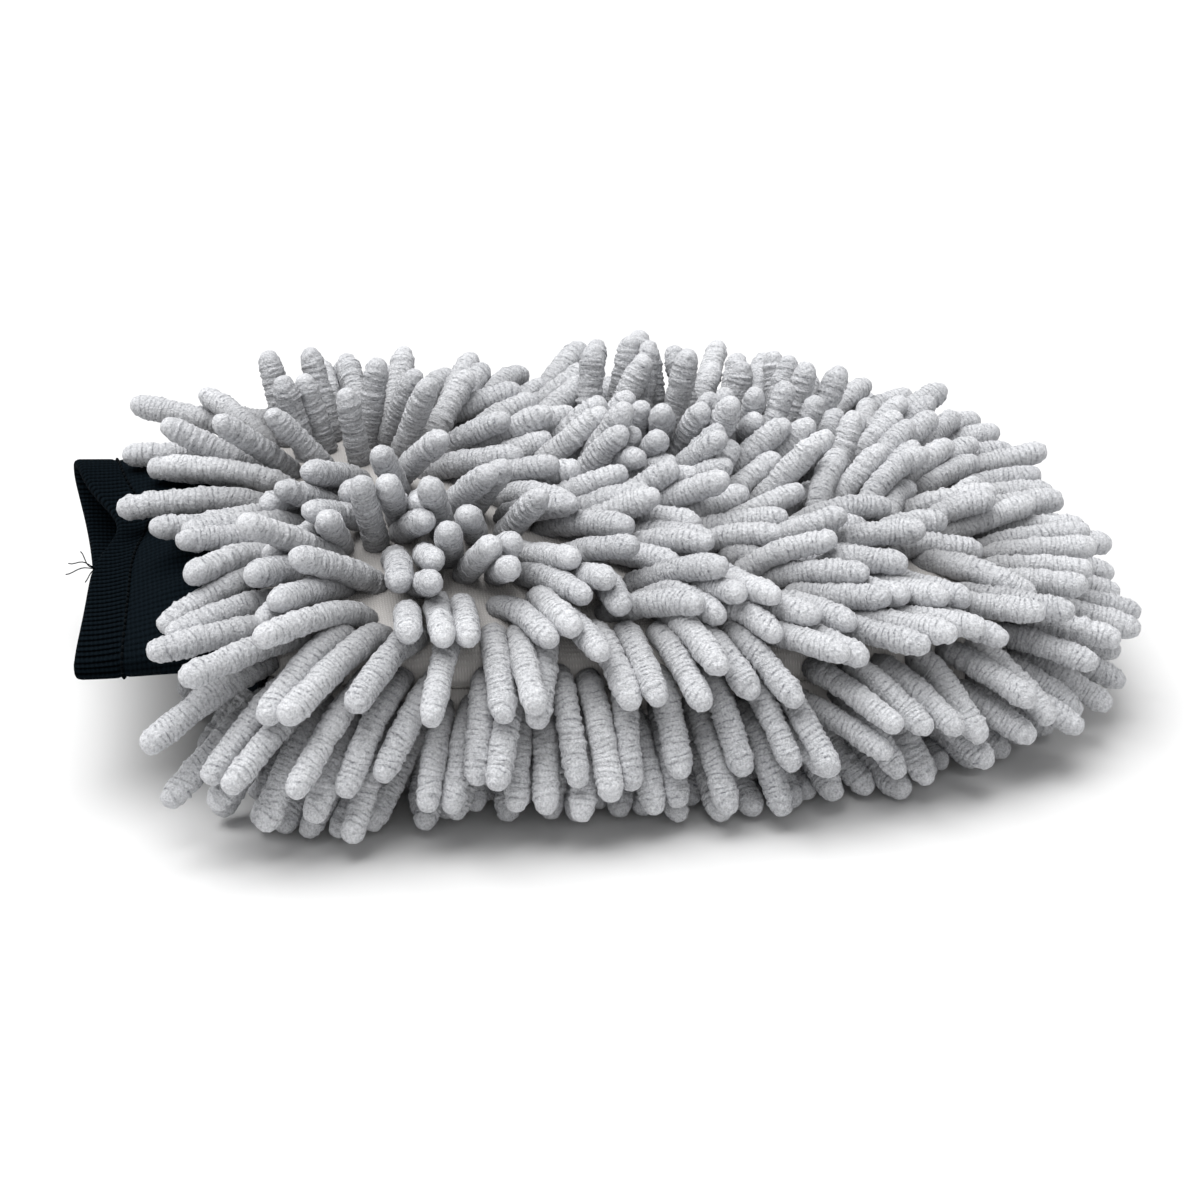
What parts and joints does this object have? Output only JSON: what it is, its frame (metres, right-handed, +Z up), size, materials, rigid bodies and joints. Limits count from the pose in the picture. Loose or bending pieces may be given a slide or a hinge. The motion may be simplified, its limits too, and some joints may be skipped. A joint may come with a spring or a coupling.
{
  "type": "wash mitt",
  "caption": "Car-wash mitt: a padded pouch covered on both faces and round its rim with soft chenille fingers, with a doubled rib-knit wrist cuff.",
  "frame": {"origin": "middle of the bounding box's base, on the surface that the lower fingers rest on", "axes": "+X from the cuff to the finger end, +Y across the mitt, +Z up through its thickness"},
  "size_m": [0.2844, 0.205, 0.0766],
  "materials": {
    "chenille": "matte",
    "backing": "matte",
    "padding": "matte",
    "lining": "matte",
    "knit": "matte",
    "elastic": "matte",
    "pale_thread": "matte",
    "black_thread": "matte"
  },
  "bodies": {
    "pouch": {"lower_finger_row_01": "chenille", "lower_finger_row_02": "chenille", "lower_finger_row_03": "chenille", "lower_finger_row_04": "chenille", "lower_finger_row_05": "chenille", "lower_finger_row_06": "chenille", "lower_finger_row_07": "chenille", "lower_finger_row_08": "chenille", "lower_finger_row_09": "chenille", "lower_finger_row_10": "chenille", "lower_finger_row_11": "chenille", "lower_fringe_inner_back": "chenille", "lower_fringe_inner_back_corner": "chenille", "lower_fringe_inner_finger_end": "chenille", "lower_fringe_inner_front": "chenille", "lower_fringe_inner_front_corner": "chenille", "lower_fringe_outer_back": "chenille", "lower_fringe_outer_back_corner": "chenille", "lower_fringe_outer_finger_end": "chenille", "lower_fringe_outer_front": "chenille", "lower_fringe_outer_front_corner": "chenille", "lower_lining": "lining", "lower_padding": "padding", "lower_panel": "backing", "rim_seam": "pale_thread", "upper_finger_row_01": "chenille", "upper_finger_row_02": "chenille", "upper_finger_row_03": "chenille", "upper_finger_row_04": "chenille", "upper_finger_row_05": "chenille", "upper_finger_row_06": "chenille", "upper_finger_row_07": "chenille", "upper_finger_row_08": "chenille", "upper_finger_row_09": "chenille", "upper_finger_row_10": "chenille", "upper_finger_row_11": "chenille", "upper_fringe_inner_back": "chenille", "upper_fringe_inner_back_corner": "chenille", "upper_fringe_inner_finger_end": "chenille", "upper_fringe_inner_front": "chenille", "upper_fringe_inner_front_corner": "chenille", "upper_fringe_outer_back": "chenille", "upper_fringe_outer_back_corner": "chenille", "upper_fringe_outer_finger_end": "chenille", "upper_fringe_outer_front": "chenille", "upper_fringe_outer_front_corner": "chenille", "upper_lining": "lining", "upper_padding": "padding", "upper_panel": "backing", "wrist_seam": "black_thread"},
    "cuff": {"cuff_rib_knit": "knit", "cuff_elastic": "elastic", "cuff_hem_stitching": "black_thread"}
  },
  "joints": [
    {"name": "cuff_flex", "type": "hinge", "parent": "pouch", "child": "cuff", "pos_m": [-0.09825, 0, 0.04176], "axis": [0, 1, 0], "range_deg": [-12, 20], "stiffness_Nm_per_rad": 0.09}
  ]
}
